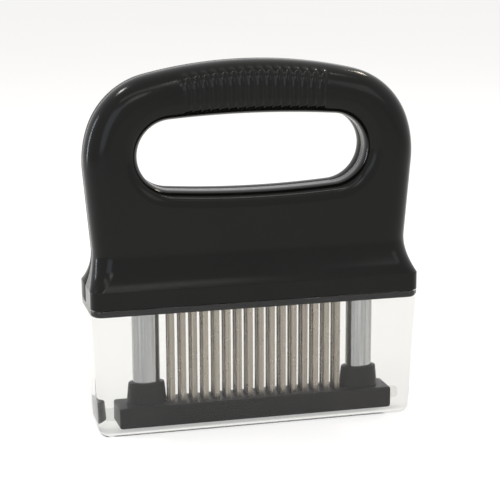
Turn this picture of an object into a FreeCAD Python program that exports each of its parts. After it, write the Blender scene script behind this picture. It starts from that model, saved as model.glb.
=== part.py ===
import FreeCAD, Part
import math
import os

from FreeCAD import Vector as V

# Blade meat tenderizer: a hollow two-shell handle, a base plate that holds three rows of blades,
# a sprung pressure plate on two guide posts, and a clear cover that slips over the lot.
# Millimetres. +Z is up, +X to the right, -Y is the front. The origin is the middle of the flat
# underside of the cover, which the tool stands on.

# Overall size
HEIGHT = 165.0
WIDTH = 150.0
DEPTH = 35.0

# Levels above the bottom of the cover
RIM_BOTTOM = 59.2
RIM_TOP = 67.2
WAIST_Z = 84.0
SKIRT_SINK = 0.1
SKIRT_HOLLOW = 2.3
SKIRT_SECTIONS = 4

# Handle outline
CROWN_RADIUS = 207.0
SHOULDER_RADIUS = 35.0
FLANK_RADIUS = 48.0
SHOULDER_END = math.radians(72.0)
WAIST_HALF = 72.0
GRIP_DEPTH = 24.0
OUTER_ROUND = 10.5
HOLE_ROUND = 6.8
RIM_CORNER = 5.0
HANDLE_WALL = 2.6
CAVITY_CHAMFER = 4.0
CAVITY_HOLE_CHAMFER = 2.5
SHELL_GAP = 0.02

# Hand hole
HOLE_HALF = 51.9
HOLE_FLOOR = 107.5
HOLE_TOP = 141.6
HOLE_END_RADIUS = 15.6

# Grip ribs
RIB_COUNT = 16
RIB_PITCH = 4.0
RIB_WIDTH = 2.4
RIB_STAND = 0.7
RIB_ROOT = 1.5
RIB_TURN = 58.0
RIB_LOW_TURN = 40.0
RIB_LOW_BEND = 4.2

# Base plate and cover seat
SPIGOT_DROP = 3.4
BASE_SEAT = 3.6
COVER_WALL = 2.0
COVER_FIT = 0.15
COVER_TAPER = 2.7
COVER_TAPER_DEEP = 1.9
COVER_FLOOR = 2.2
COVER_EDGE_ROUND = 4.0
COVER_SEAT_GAP = 0.5
COVER_INNER_ROUND = 0.8

# Guide posts and their springs
POST_SPACING = 99.0
POST_RADIUS = 6.15
POST_FIT = 0.05
BUSH_WALL = 1.4
BUSH_FLANGE = 1.3
BUSH_FLANGE_THICK = 1.2
COLLAR_RADIUS = 8.1
COLLAR_HEIGHT = 4.0
COLLAR_GAP = 0.2
SPRING_POCKET = 4.6
SPRING_SEAT_DROP = 14.0
SPRING_WIRE = 1.2
SPRING_RADIUS = 3.5
SPRING_TURNS = 5
TOWER_WALL = 2.2
HEAD_ROOM = 7.6
TOWER_CAP = 2.4

# Pressure plate
PLATE_LENGTH = 126.2
PLATE_DEPTH = 26.0
PLATE_BOTTOM = 3.7
PLATE_TOP = 13.2
PLATE_CORNER = 1.6
PLATE_EDGE = 1.0
BOSS_BASE_RADIUS = 9.0
BOSS_TOP_RADIUS = 8.15
BOSS_HEIGHT = 9.8
BOSS_EDGE = 0.7
POST_SEAT_Z = 8.2
STROKE = 32.0
BUFFER_RADIUS = 5.7
BUFFER_HEIGHT = 4.2
BUFFER_Z = 8.6
BUFFER_ROOT = 2.0
BUFFER_BEVEL = 0.7

# Blades
BLADE_COUNT = 16
BLADE_PITCH = 5.12
ROW_PITCH = 5.5
BLADE_WIDTH = 2.4
BLADE_THICK = 1.0
BLADE_TIP_Z = 5.6
BLADE_POINT = 4.5
BLADE_HEAD_WIDTH = 3.8
BLADE_HEAD_HEIGHT = 2.4
SLOT_FIT = 0.12
PLATE_SLOT_FIT = 0.3
CLAMP_THICK = 3.6
CLAMP_CORNER = 2.0

# Screws
SCREW_RADIUS = 1.5
SCREW_HEAD_RADIUS = 2.9
SCREW_HEAD_HEIGHT = 1.8
SCREW_FIT = 0.2
BASE_SCREW_X = 63.0
BASE_SCREW_Y = 8.0
BASE_SCREW_LENGTH = 14.0
BOSS_COLUMN_RADIUS = 3.6
BOSS_COLUMN_HEIGHT = 17.0
CLAMP_SCREW_X = 30.0
CLAMP_SCREW_Y = 9.3
CLAMP_SCREW_LENGTH = 5.0
CLAMP_SCREW_RADIUS = 1.1
CLAMP_SCREW_HEAD_RADIUS = 2.1
CLAMP_SCREW_HEAD_HEIGHT = 1.4
HEAD_CLEARANCE = 0.6
POST_SCREW_RADIUS = 2.0
POST_SCREW_HEAD_RADIUS = 3.8
POST_SCREW_HEAD_HEIGHT = 2.6
POST_SCREW_LENGTH = 16.0

# Locating pins between the two handle shells
PIN_RADIUS = 1.6
PIN_LENGTH = 5.0
PIN_FIT = 0.02
PIN_COLUMN_RADIUS = 3.4
PIN_SPREAD = 26.0

# Sizes that follow from the ones above
BASE_BOTTOM = RIM_BOTTOM - SPIGOT_DROP
BASE_TOP = RIM_BOTTOM + BASE_SEAT
BASE_LENGTH = WIDTH - 2 * (COVER_WALL + COVER_FIT)
BASE_DEPTH = DEPTH - 2 * (COVER_WALL + COVER_FIT)
BASE_CORNER = RIM_CORNER - COVER_WALL - COVER_FIT
POST_X = POST_SPACING / 2
BUSH_RADIUS = POST_RADIUS + POST_FIT + BUSH_WALL
BUSH_TOP = BASE_TOP + BUSH_FLANGE_THICK
POST_TOP = BUSH_TOP + COLLAR_HEIGHT
SPRING_SEAT = POST_TOP - SPRING_SEAT_DROP
TOWER_TOP = POST_TOP + STROKE + HEAD_ROOM
CROWN_Z = HEIGHT - CROWN_RADIUS
CLAMP_LENGTH = (BLADE_COUNT - 1) * BLADE_PITCH + BLADE_HEAD_WIDTH
CLAMP_DEPTH = 2 * (CLAMP_SCREW_Y + CLAMP_SCREW_HEAD_RADIUS)
CLAMP_TOP = BASE_TOP + CLAMP_THICK
HEAD_SEAT = BASE_TOP - BLADE_HEAD_HEIGHT


def rounded_wire(length, depth, corner, z):
    """A rounded rectangle about the Z axis, as four lines and four arcs."""
    half_x = length / 2
    half_y = depth / 2
    edges = []
    corners = [(1, -1, -90), (1, 1, 0), (-1, 1, 90), (-1, -1, 180)]
    for side_x, side_y, start in corners:
        centre = V(side_x * (half_x - corner), side_y * (half_y - corner), z)
        points = []
        for turn in (0, 45, 90):
            angle = math.radians(start + turn)
            points.append(centre + V(corner * math.cos(angle), corner * math.sin(angle), 0))
        if edges:
            edges.append(Part.LineSegment(last, points[0]).toShape())
        else:
            first = points[0]
        edges.append(Part.Arc(*points).toShape())
        last = points[2]
    edges.append(Part.LineSegment(last, first).toShape())
    return Part.Wire(edges)


def rounded_block(length, depth, corner, low, high):
    """An upright block with rounded corners."""
    face = Part.Face(rounded_wire(length, depth, corner, low))
    return face.extrude(V(0, 0, high - low))


def cylinder(radius, low, high, x=0.0, y=0.0):
    """An upright cylinder between two levels."""
    return Part.makeCylinder(radius, high - low, V(x, y, low))


def arc_point(centre_x, centre_z, radius, angle):
    """A point on an outline arc; the angle is measured from straight up, towards +X."""
    return V(centre_x + radius * math.sin(angle), 0, centre_z + radius * math.cos(angle))


def outline_arcs(inset):
    """The right half of the handle outline: crown, shoulder and flank arcs, each tangent to the next."""
    spread = WIDTH / 2 - FLANK_RADIUS - (SHOULDER_RADIUS - FLANK_RADIUS) * math.sin(SHOULDER_END)
    crown_end = math.asin(spread / (CROWN_RADIUS - SHOULDER_RADIUS))
    reach = CROWN_RADIUS - SHOULDER_RADIUS
    shoulder_x = reach * math.sin(crown_end)
    shoulder_z = CROWN_Z + reach * math.cos(crown_end)
    step = SHOULDER_RADIUS - FLANK_RADIUS
    flank_x = shoulder_x + step * math.sin(SHOULDER_END)
    flank_z = shoulder_z + step * math.cos(SHOULDER_END)
    # The flank leaves its arc where the line down to the waist is tangent to it
    drop_x = WAIST_HALF - flank_x
    drop_z = WAIST_Z - flank_z
    distance = math.hypot(drop_x, drop_z)
    flank_end = math.atan2(drop_x, drop_z) - math.acos(FLANK_RADIUS / distance)
    return [
        (0.0, CROWN_Z, CROWN_RADIUS - inset, 0.0, crown_end),
        (shoulder_x, shoulder_z, SHOULDER_RADIUS - inset, crown_end, SHOULDER_END),
        (flank_x, flank_z, FLANK_RADIUS - inset, SHOULDER_END, flank_end),
    ]


def handle_outline(inset):
    """The closed outline of the upper handle, down to the level of the rim."""
    arcs = outline_arcs(inset)
    right = []
    for centre_x, centre_z, radius, start, end in arcs[1:]:
        a = arc_point(centre_x, centre_z, radius, start)
        b = arc_point(centre_x, centre_z, radius, (start + end) / 2)
        c = arc_point(centre_x, centre_z, radius, end)
        right.append((a, b, c))
    crown_end = right[0][0]
    crown_start = V(-crown_end.x, 0, crown_end.z)
    edges = [Part.Arc(crown_start, V(0, 0, HEIGHT - inset), crown_end).toShape()]
    for a, b, c in right:
        edges.append(Part.Arc(a, b, c).toShape())
    tangent = right[-1][2]
    end_angle = arcs[-1][4]
    slope = V(math.cos(end_angle), 0, -math.sin(end_angle))
    foot = tangent + slope * ((tangent.z - RIM_TOP) / -slope.z)
    edges.append(Part.LineSegment(tangent, foot).toShape())
    mirrored_foot = V(-foot.x, 0, foot.z)
    edges.append(Part.LineSegment(foot, mirrored_foot).toShape())
    edges.append(Part.LineSegment(mirrored_foot, V(-tangent.x, 0, tangent.z)).toShape())
    for a, b, c in reversed(right):
        points = [V(-p.x, 0, p.z) for p in (c, b, a)]
        edges.append(Part.Arc(*points).toShape())
    return Part.Wire(edges)


def hole_outline(outset):
    """The hand hole: two end arcs joined by two long shallow arcs, all tangent."""
    half = HOLE_HALF + outset
    rise = (HOLE_TOP - HOLE_FLOOR) / 2 + outset
    middle = (HOLE_TOP + HOLE_FLOOR) / 2
    end = HOLE_END_RADIUS + outset
    reach = half - end
    shallow = (reach ** 2 + rise ** 2 - end ** 2) / (2 * (rise - end))
    lean = math.asin(reach / (shallow - end))
    corners = {}
    for side in (1, -1):
        for level in (1, -1):
            x = side * (reach + end * math.sin(lean))
            corners[side, level] = V(x, 0, middle + level * end * math.cos(lean))
    top = Part.Arc(corners[-1, 1], V(0, 0, middle + rise), corners[1, 1])
    right = Part.Arc(corners[1, 1], V(half, 0, middle), corners[1, -1])
    floor = Part.Arc(corners[1, -1], V(0, 0, middle - rise), corners[-1, -1])
    left = Part.Arc(corners[-1, -1], V(-half, 0, middle), corners[-1, 1])
    return Part.Wire([arc.toShape() for arc in (top, right, floor, left)])


def profile_edges(solid, wire, half_depth):
    """The front and rear edges of an extruded outline that follow the given edges."""
    marks = []
    for edge in wire.Edges:
        centre = edge.valueAt((edge.FirstParameter + edge.LastParameter) / 2)
        for side in (-1, 1):
            marks.append(V(centre.x, side * half_depth, centre.z))
    picked = []
    for edge in solid.Edges:
        middle = edge.valueAt((edge.FirstParameter + edge.LastParameter) / 2)
        for mark in marks:
            if middle.distanceToPoint(mark) < 0.01:
                picked.append(edge)
    return picked


def free_outline_edges(outline):
    """The edges of the outline above the rim: all but its straight foot."""
    free = []
    for edge in outline.Edges:
        middle = edge.valueAt((edge.FirstParameter + edge.LastParameter) / 2)
        if middle.z > RIM_TOP + 1:
            free.append(edge)
    return Part.Wire(free)


def pierced_slab(inset):
    """The handle outline with its hand hole, as a flat slab drawn in by a wall thickness."""
    half_depth = GRIP_DEPTH / 2 - inset
    slab = Part.Face(handle_outline(inset)).extrude(V(0, 2 * half_depth, 0))
    slab.translate(V(0, -half_depth, 0))
    tool = Part.Face(hole_outline(inset)).extrude(V(0, 2 * half_depth + 2, 0))
    tool.translate(V(0, -half_depth - 1, 0))
    return slab.cut(tool)


def upper_handle():
    """The upper handle with its rounded edges."""
    half_depth = GRIP_DEPTH / 2
    slab = pierced_slab(0.0)
    rim_edges = profile_edges(slab, free_outline_edges(handle_outline(0.0)), half_depth)
    slab = slab.makeFillet(OUTER_ROUND, rim_edges)
    return slab.makeFillet(HOLE_ROUND, profile_edges(slab, hole_outline(0.0), half_depth))


def handle_cavity():
    """The hollow of the upper handle: the slab drawn in by the wall, with its edges cut back."""
    half_depth = GRIP_DEPTH / 2 - HANDLE_WALL
    slab = pierced_slab(HANDLE_WALL)
    outline = handle_outline(HANDLE_WALL)
    slab = slab.makeChamfer(CAVITY_CHAMFER, profile_edges(slab, free_outline_edges(outline), half_depth))
    hole = hole_outline(HANDLE_WALL)
    return slab.makeChamfer(CAVITY_HOLE_CHAMFER, profile_edges(slab, hole, half_depth))


def skirt():
    """The flared skirt: it leaves the rim flat and closes on the upper handle in a hollow curve."""
    top_x = WAIST_HALF - SKIRT_SINK
    top_y = GRIP_DEPTH / 2 - SKIRT_SINK
    wires = []
    for step in range(SKIRT_SECTIONS):
        share = step / (SKIRT_SECTIONS - 1)
        hollow = (1 - share) ** SKIRT_HOLLOW
        half_x = top_x + (WIDTH / 2 - top_x) * hollow
        half_y = top_y + (DEPTH / 2 - top_y) * hollow
        corner = OUTER_ROUND + (RIM_CORNER - OUTER_ROUND) * hollow
        z = RIM_TOP + (WAIST_Z - RIM_TOP) * share
        wires.append(rounded_wire(2 * half_x, 2 * half_y, corner, z))
    return Part.makeLoft(wires, True, False)


def grip_rib(x, side):
    """One raised rib that follows the face of the grip, its ends sinking in."""
    face_y = GRIP_DEPTH / 2 + RIB_STAND
    crown_drop = CROWN_RADIUS - math.sqrt(CROWN_RADIUS ** 2 - x ** 2)
    upper_z = HEIGHT - OUTER_ROUND - crown_drop
    lower_z = HOLE_TOP + HOLE_ROUND - crown_drop
    bend = OUTER_ROUND + RIB_STAND
    centre_y = face_y - bend
    low_y = face_y - RIB_LOW_BEND
    turn = math.radians(RIB_TURN)
    low_turn = math.radians(RIB_LOW_TURN)

    def swing(y, z, radius, angle):
        return V(x - RIB_WIDTH / 2, side * (y + radius * math.cos(angle)), z + radius * math.sin(angle))

    low = [swing(low_y, lower_z, RIB_LOW_BEND, -low_turn * k) for k in (1, 0.5, 0)]
    top = [swing(centre_y, upper_z, bend, turn * k) for k in (0, 0.5, 1)]
    heel_low = low[0] - V(0, side * RIB_ROOT, 0)
    heel_top = top[2] - V(0, side * RIB_ROOT, RIB_ROOT)
    edges = [
        Part.Arc(*low).toShape(),
        Part.LineSegment(low[2], top[0]).toShape(),
        Part.Arc(*top).toShape(),
        Part.LineSegment(top[2], heel_top).toShape(),
        Part.LineSegment(heel_top, heel_low).toShape(),
        Part.LineSegment(heel_low, low[0]).toShape(),
    ]
    return Part.Face(Part.Wire(edges)).extrude(V(RIB_WIDTH, 0, 0))


def rib_positions():
    """The X places of the grip ribs."""
    first = -(RIB_COUNT - 1) * RIB_PITCH / 2
    return [first + index * RIB_PITCH for index in range(RIB_COUNT)]


def blade_positions():
    """The X places of the blades in one row."""
    first = -(BLADE_COUNT - 1) * BLADE_PITCH / 2
    return [first + index * BLADE_PITCH for index in range(BLADE_COUNT)]


def locating_pin_places():
    """Where the two handle shells are located on each other, clear of the hand hole."""
    shoulder = HOLE_HALF + (WIDTH / 2 - HOLE_HALF) / 2
    middle = (HOLE_TOP + HOLE_FLOOR) / 2
    below = (HOLE_FLOOR + WAIST_Z) / 2
    above = (HOLE_TOP + HEIGHT) / 2
    places = [(shoulder, middle), (PIN_SPREAD, below), (PIN_SPREAD, above)]
    return places + [(-x, z) for x, z in places]


def handle_solid():
    """The whole handle before it is parted: walls, spring towers, screw columns and pin columns."""
    rim = rounded_block(WIDTH, DEPTH, RIM_CORNER, RIM_BOTTOM, RIM_TOP)
    outer = upper_handle().fuse(skirt()).fuse(rim)
    cavity = handle_cavity()
    ledge = 4 * HANDLE_WALL
    neck_top = CLAMP_TOP + CLAMP_SCREW_HEAD_HEIGHT + HEAD_CLEARANCE
    neck = rounded_block(WIDTH - ledge, DEPTH - ledge, RIM_CORNER - HANDLE_WALL, BASE_TOP, neck_top)
    cavity = cavity.fuse(neck)
    keep = []
    for side in (-1, 1):
        keep.append(cylinder(tower_radius(), RIM_TOP, TOWER_TOP + TOWER_CAP, side * POST_X))
        for front in (-1, 1):
            x = side * BASE_SCREW_X
            y = front * BASE_SCREW_Y
            keep.append(cylinder(BOSS_COLUMN_RADIUS, BASE_TOP, BASE_TOP + BOSS_COLUMN_HEIGHT, x, y))
    for x, z in locating_pin_places():
        start = V(x, -GRIP_DEPTH / 2, z)
        keep.append(Part.makeCylinder(PIN_COLUMN_RADIUS, GRIP_DEPTH, start, V(0, 1, 0)))
    cavity = cavity.cut(keep[0].multiFuse(keep[1:]))
    solid = outer.cut(cavity)
    cuts = [rounded_block(BASE_LENGTH, BASE_DEPTH, BASE_CORNER, RIM_BOTTOM - 1, BASE_TOP)]
    bore = COLLAR_RADIUS + COLLAR_GAP
    for side in (-1, 1):
        cuts.append(cylinder(bore, BASE_TOP - 1, TOWER_TOP, side * POST_X))
        for front in (-1, 1):
            x = side * BASE_SCREW_X
            y = front * BASE_SCREW_Y
            cuts.append(cylinder(SCREW_RADIUS, BASE_TOP - 1, BASE_TOP + BASE_SCREW_LENGTH, x, y))
    solid = solid.cut(cuts[0].multiFuse(cuts[1:]))
    ribs = [grip_rib(x, side) for side in (-1, 1) for x in rib_positions()]
    return solid.multiFuse(ribs)


def tower_radius():
    """Outer radius of the tube that houses a post head."""
    return COLLAR_RADIUS + COLLAR_GAP + TOWER_WALL


def handle_shells():
    """Parts the handle at its middle plane into a front and a rear shell with locating pins."""
    whole = handle_solid()
    gap = SHELL_GAP / 2
    size = 4 * WIDTH
    front_room = Part.makeBox(size, size, size, V(-size / 2, -size - gap, -size / 4))
    rear_room = Part.makeBox(size, size, size, V(-size / 2, gap, -size / 4))
    front = whole.common(front_room)
    rear = whole.common(rear_room)
    for x, z in locating_pin_places():
        pin = Part.makeCylinder(PIN_RADIUS, PIN_LENGTH, V(x, -gap - 1, z), V(0, 1, 0))
        socket = Part.makeCylinder(
            PIN_RADIUS + PIN_FIT, PIN_LENGTH, V(x, -gap, z), V(0, 1, 0)
        )
        front = front.fuse(pin)
        rear = rear.cut(socket)
    return front, rear


def blade_slots(low, high, room):
    """All blade openings through a plate, as separate blocks."""
    slots = []
    for row in (-1, 0, 1):
        for x in blade_positions():
            slots.append(
                Part.makeBox(
                    BLADE_WIDTH + 2 * room,
                    BLADE_THICK + 2 * room,
                    high - low,
                    V(x - BLADE_WIDTH / 2 - room, row * ROW_PITCH - BLADE_THICK / 2 - room, low),
                )
            )
    return slots


def base_plate():
    """The plate that closes the handle: it carries the blades and the post bushes, and seats the cover."""
    body = rounded_block(BASE_LENGTH, BASE_DEPTH, BASE_CORNER, BASE_BOTTOM, BASE_TOP)
    low_edges = []
    for edge in body.Edges:
        if edge.BoundBox.ZMax < BASE_BOTTOM + 0.01:
            low_edges.append(edge)
    body = body.makeChamfer(0.5, low_edges)
    cuts = blade_slots(BASE_BOTTOM - 1, BASE_TOP + 1, SLOT_FIT)
    head_length = CLAMP_LENGTH + 2 * SLOT_FIT
    for row in (-1, 0, 1):
        cuts.append(
            Part.makeBox(
                head_length,
                BLADE_THICK + 2 * SLOT_FIT,
                BLADE_HEAD_HEIGHT + 1,
                V(-head_length / 2, row * ROW_PITCH - BLADE_THICK / 2 - SLOT_FIT, HEAD_SEAT),
            )
        )
    for side in (-1, 1):
        cuts.append(cylinder(BUSH_RADIUS, BASE_BOTTOM - 1, BASE_TOP + 1, side * POST_X))
        for front in (-1, 1):
            x = side * BASE_SCREW_X
            y = front * BASE_SCREW_Y
            cuts.append(cylinder(SCREW_RADIUS + SCREW_FIT, BASE_BOTTOM - 1, BASE_TOP + 1, x, y))
            head_top = BASE_BOTTOM + SCREW_HEAD_HEIGHT + SCREW_FIT
            cuts.append(cylinder(SCREW_HEAD_RADIUS + SCREW_FIT, BASE_BOTTOM - 1, head_top, x, y))
    for x, y in clamp_screw_places():
        cuts.append(cylinder(CLAMP_SCREW_RADIUS, BASE_TOP - CLAMP_SCREW_LENGTH, BASE_TOP + 1, x, y))
    return body.cut(cuts[0].multiFuse(cuts[1:]))


def blade(x, y):
    """One flat blade: a wider head, a straight shank and a bevelled point."""
    half = BLADE_WIDTH / 2
    head = BLADE_HEAD_WIDTH / 2
    points = [
        (-half, BLADE_TIP_Z + BLADE_POINT * 0.45),
        (0.0, BLADE_TIP_Z),
        (half, BLADE_TIP_Z + BLADE_POINT * 0.45),
        (half, HEAD_SEAT),
        (head, HEAD_SEAT),
        (head, BASE_TOP),
        (-head, BASE_TOP),
        (-head, HEAD_SEAT),
        (-half, HEAD_SEAT),
    ]
    corners = [V(x + px, y - BLADE_THICK / 2, pz) for px, pz in points]
    face = Part.Face(Part.makePolygon(corners + corners[:1]))
    body = face.extrude(V(0, BLADE_THICK, 0))
    for side in (-1, 1):
        wedge = Part.makePolygon(
            [
                V(x - half - 1, y + side * BLADE_THICK / 2, BLADE_TIP_Z + BLADE_POINT),
                V(x - half - 1, y + side * 0.06, BLADE_TIP_Z - 0.5),
                V(x - half - 1, y + side * BLADE_THICK, BLADE_TIP_Z - 0.5),
                V(x - half - 1, y + side * BLADE_THICK / 2, BLADE_TIP_Z + BLADE_POINT),
            ]
        )
        body = body.cut(Part.Face(wedge).extrude(V(BLADE_WIDTH + 2, 0, 0)))
    return body


def blade_row(row):
    """One row of blades, as separate solids."""
    return Part.makeCompound([blade(x, row * ROW_PITCH) for x in blade_positions()])


def clamp_screw_places():
    """Where the clamp bar is screwed down, in front of and behind the blades."""
    return [(i * CLAMP_SCREW_X, j * CLAMP_SCREW_Y) for i in (-1, 1) for j in (-1, 1)]


def blade_clamp():
    """The bar that holds the blade heads down in the base plate."""
    body = rounded_block(CLAMP_LENGTH, CLAMP_DEPTH, CLAMP_CORNER, BASE_TOP, CLAMP_TOP)
    for x, y in clamp_screw_places():
        body = body.cut(cylinder(CLAMP_SCREW_RADIUS + SCREW_FIT, BASE_TOP - 1, CLAMP_TOP + 1, x, y))
    return body


def screw(x, y, head_z, up, length, radius, head_radius, head_height):
    """A round-headed screw; up says which way its shank points."""
    direction = V(0, 0, 1 if up else -1)
    shank = Part.makeCylinder(radius, length, V(x, y, head_z), direction)
    head = Part.makeCylinder(head_radius, head_height, V(x, y, head_z), -direction)
    return shank.fuse(head)


def base_screws():
    """Four screws that hold the base plate up to the handle shells."""
    made = []
    for side in (-1, 1):
        for front in (-1, 1):
            made.append(
                screw(
                    side * BASE_SCREW_X,
                    front * BASE_SCREW_Y,
                    BASE_BOTTOM + SCREW_HEAD_HEIGHT + SCREW_FIT,
                    True,
                    BASE_SCREW_LENGTH,
                    SCREW_RADIUS,
                    SCREW_HEAD_RADIUS,
                    SCREW_HEAD_HEIGHT,
                )
            )
    return Part.makeCompound(made)


def clamp_screws():
    """Four small screws that pull the clamp bar down on the base plate."""
    made = []
    for x, y in clamp_screw_places():
        made.append(
            screw(
                x,
                y,
                CLAMP_TOP,
                False,
                CLAMP_THICK + CLAMP_SCREW_LENGTH - 1,
                CLAMP_SCREW_RADIUS,
                CLAMP_SCREW_HEAD_RADIUS,
                CLAMP_SCREW_HEAD_HEIGHT,
            )
        )
    return Part.makeCompound(made)


def post_bush(side):
    """A flanged bush that guides one post through the base plate."""
    x = side * POST_X
    body = cylinder(BUSH_RADIUS, BASE_BOTTOM, BASE_TOP, x)
    body = body.fuse(cylinder(BUSH_RADIUS + BUSH_FLANGE, BASE_TOP, BUSH_TOP, x))
    return body.cut(cylinder(POST_RADIUS + POST_FIT, BASE_BOTTOM - 1, BUSH_TOP + 1, x))


def guide_post(side):
    """A polished post: solid foot tapped for its screw, hollow head for the spring."""
    x = side * POST_X
    body = cylinder(POST_RADIUS, POST_SEAT_Z, POST_TOP, x)
    top_edges = [edge for edge in body.Edges if edge.BoundBox.ZMin > POST_TOP - 0.01]
    body = body.makeChamfer(0.5, top_edges)
    body = body.cut(cylinder(SPRING_POCKET, SPRING_SEAT, POST_TOP + 1, x))
    return body.cut(cylinder(POST_SCREW_RADIUS, POST_SEAT_Z - 1, post_screw_top(), x))


def post_screw_top():
    """Level of the end of the screw inside a post."""
    return PLATE_BOTTOM + POST_SCREW_HEAD_HEIGHT + POST_SCREW_LENGTH


def post_collar(side):
    """The ring on the head of a post that lands on the bush at the end of the return stroke."""
    x = side * POST_X
    ring = cylinder(COLLAR_RADIUS, BUSH_TOP, POST_TOP - 0.5, x)
    return ring.cut(cylinder(POST_RADIUS, BUSH_TOP - 1, POST_TOP + 1, x))


def post_screw(side):
    """The screw that holds a post down in the pressure plate."""
    return screw(
        side * POST_X,
        0.0,
        PLATE_BOTTOM + POST_SCREW_HEAD_HEIGHT,
        True,
        POST_SCREW_LENGTH,
        POST_SCREW_RADIUS,
        POST_SCREW_HEAD_RADIUS,
        POST_SCREW_HEAD_HEIGHT,
    )


def spring_points(side):
    """The two ends of a spring's axis."""
    x = side * POST_X
    low = SPRING_SEAT + SPRING_WIRE / 2
    high = TOWER_TOP - SPRING_WIRE / 2
    return V(x, 0, low), V(x, 0, high)


def return_spring(side):
    """A helical compression spring of square wire: one section swept along biarcs of half a turn each."""
    low, high = spring_points(side)
    half_turn = math.pi
    steps = SPRING_TURNS * 2
    rise = (high.z - low.z) / steps

    def on_helix(halves):
        angle = halves * half_turn
        reach = V(SPRING_RADIUS * math.cos(angle), SPRING_RADIUS * math.sin(angle), halves * rise)
        return low + reach

    def heading(halves):
        angle = halves * half_turn
        speed = SPRING_RADIUS * half_turn
        return V(-speed * math.sin(angle), speed * math.cos(angle), rise).normalize()

    edges = []
    for step in range(steps):
        edges.extend(biarc(on_helix(step), heading(step), on_helix(step + 1), heading(step + 1)))
    path = Part.Wire(edges)
    return path.makePipeShell([wire_section(on_helix(0), heading(0))], True, False)


def wire_section(centre, way):
    """The square section of the spring wire, across its path."""
    outward = V(way.y, -way.x, 0).normalize() * (SPRING_WIRE / 2)
    upward = way.cross(outward)
    corners = [centre + outward + upward, centre - outward + upward]
    corners += [centre - outward - upward, centre + outward - upward]
    return Part.makePolygon(corners + corners[:1])


def biarc(start, start_way, end, end_way):
    """Two tangent arcs that join two points along two given directions."""
    chord = end - start
    ways = start_way + end_way
    a = 2 * (1 - start_way.dot(end_way))
    b = 2 * chord.dot(ways)
    c = -chord.dot(chord)
    reach = (-b + math.sqrt(b * b - 4 * a * c)) / (2 * a)
    first_knee = start + start_way * reach
    second_knee = end - end_way * reach
    joint = (first_knee + second_knee) * 0.5
    return [tangent_arc(start, start_way, joint), tangent_arc(joint, (second_knee - first_knee), end)]


def tangent_arc(start, way, end):
    """The arc from start to end that leaves start along a given direction."""
    chord = end - start
    along = V(way).normalize()
    across = chord - along * chord.dot(along)
    across.normalize()
    radius = chord.dot(chord) / (2 * chord.dot(across))
    centre = start + across * radius
    half = (chord * 0.5 + start) - centre
    middle = centre + half.normalize() * radius
    return Part.Arc(start, middle, end).toShape()


def spring_self_gap():
    """Least clear distance between neighbouring turns, measured on points along the wire."""
    low, high = spring_points(1)
    rise = (high.z - low.z) / SPRING_TURNS
    least = rise
    for degree in range(270, 451, 5):
        angle = math.radians(degree)
        flat = 2 * SPRING_RADIUS * math.sin(angle / 2)
        least = min(least, math.hypot(flat, rise * angle / (2 * math.pi)))
    return least - SPRING_WIRE


def pressure_plate():
    """The bar that lies on the meat: blade openings, two post sockets and rounded edges."""
    body = rounded_block(PLATE_LENGTH, PLATE_DEPTH, PLATE_CORNER, PLATE_BOTTOM, PLATE_TOP)
    level_edges = []
    for edge in body.Edges:
        if edge.BoundBox.ZLength < 0.01:
            level_edges.append(edge)
    body = body.makeChamfer(PLATE_EDGE, level_edges)
    boss_top = PLATE_TOP + BOSS_HEIGHT
    for side in (-1, 1):
        x = side * POST_X
        boss = Part.makeCone(BOSS_BASE_RADIUS, BOSS_TOP_RADIUS, BOSS_HEIGHT, V(x, 0, PLATE_TOP))
        rim_edges = [edge for edge in boss.Edges if edge.BoundBox.ZMin > boss_top - 0.01]
        boss = boss.makeChamfer(BOSS_EDGE, rim_edges)
        body = body.fuse(boss)
    cuts = blade_slots(PLATE_BOTTOM - 1, PLATE_TOP + 1, PLATE_SLOT_FIT)
    for side in (-1, 1):
        x = side * POST_X
        cuts.append(cylinder(POST_RADIUS, POST_SEAT_Z, boss_top + 1, x))
        cuts.append(cylinder(POST_SCREW_RADIUS + SCREW_FIT, PLATE_BOTTOM - 1, POST_SEAT_Z + 1, x))
        head_top = PLATE_BOTTOM + POST_SCREW_HEAD_HEIGHT
        cuts.append(cylinder(POST_SCREW_HEAD_RADIUS + SCREW_FIT, PLATE_BOTTOM - 1, head_top, x))
        cuts.append(end_buffer(side))
    return body.cut(cuts[0].multiFuse(cuts[1:]))


def end_buffer(side):
    """The clear half-round buffer let into one end of the pressure plate."""
    x = side * (PLATE_LENGTH / 2)
    low = BUFFER_Z - BUFFER_HEIGHT / 2
    disc = cylinder(BUFFER_RADIUS, low, low + BUFFER_HEIGHT, x)
    room_x = x if side > 0 else x - BUFFER_RADIUS
    outside = Part.makeBox(
        BUFFER_RADIUS, 2 * BUFFER_RADIUS, BUFFER_HEIGHT, V(room_x, -BUFFER_RADIUS, low)
    )
    root_x = x - BUFFER_ROOT if side > 0 else x
    root = Part.makeBox(
        BUFFER_ROOT, BUFFER_RADIUS, BUFFER_HEIGHT, V(root_x, -BUFFER_RADIUS / 2, low)
    )
    lug = disc.common(outside)
    rim_edges = []
    for edge in lug.Edges:
        if edge.BoundBox.ZLength < 0.01 and abs(edge.CenterOfMass.x - x) > 0.5:
            rim_edges.append(edge)
    return lug.makeChamfer(BUFFER_BEVEL, rim_edges).fuse(root)


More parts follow.
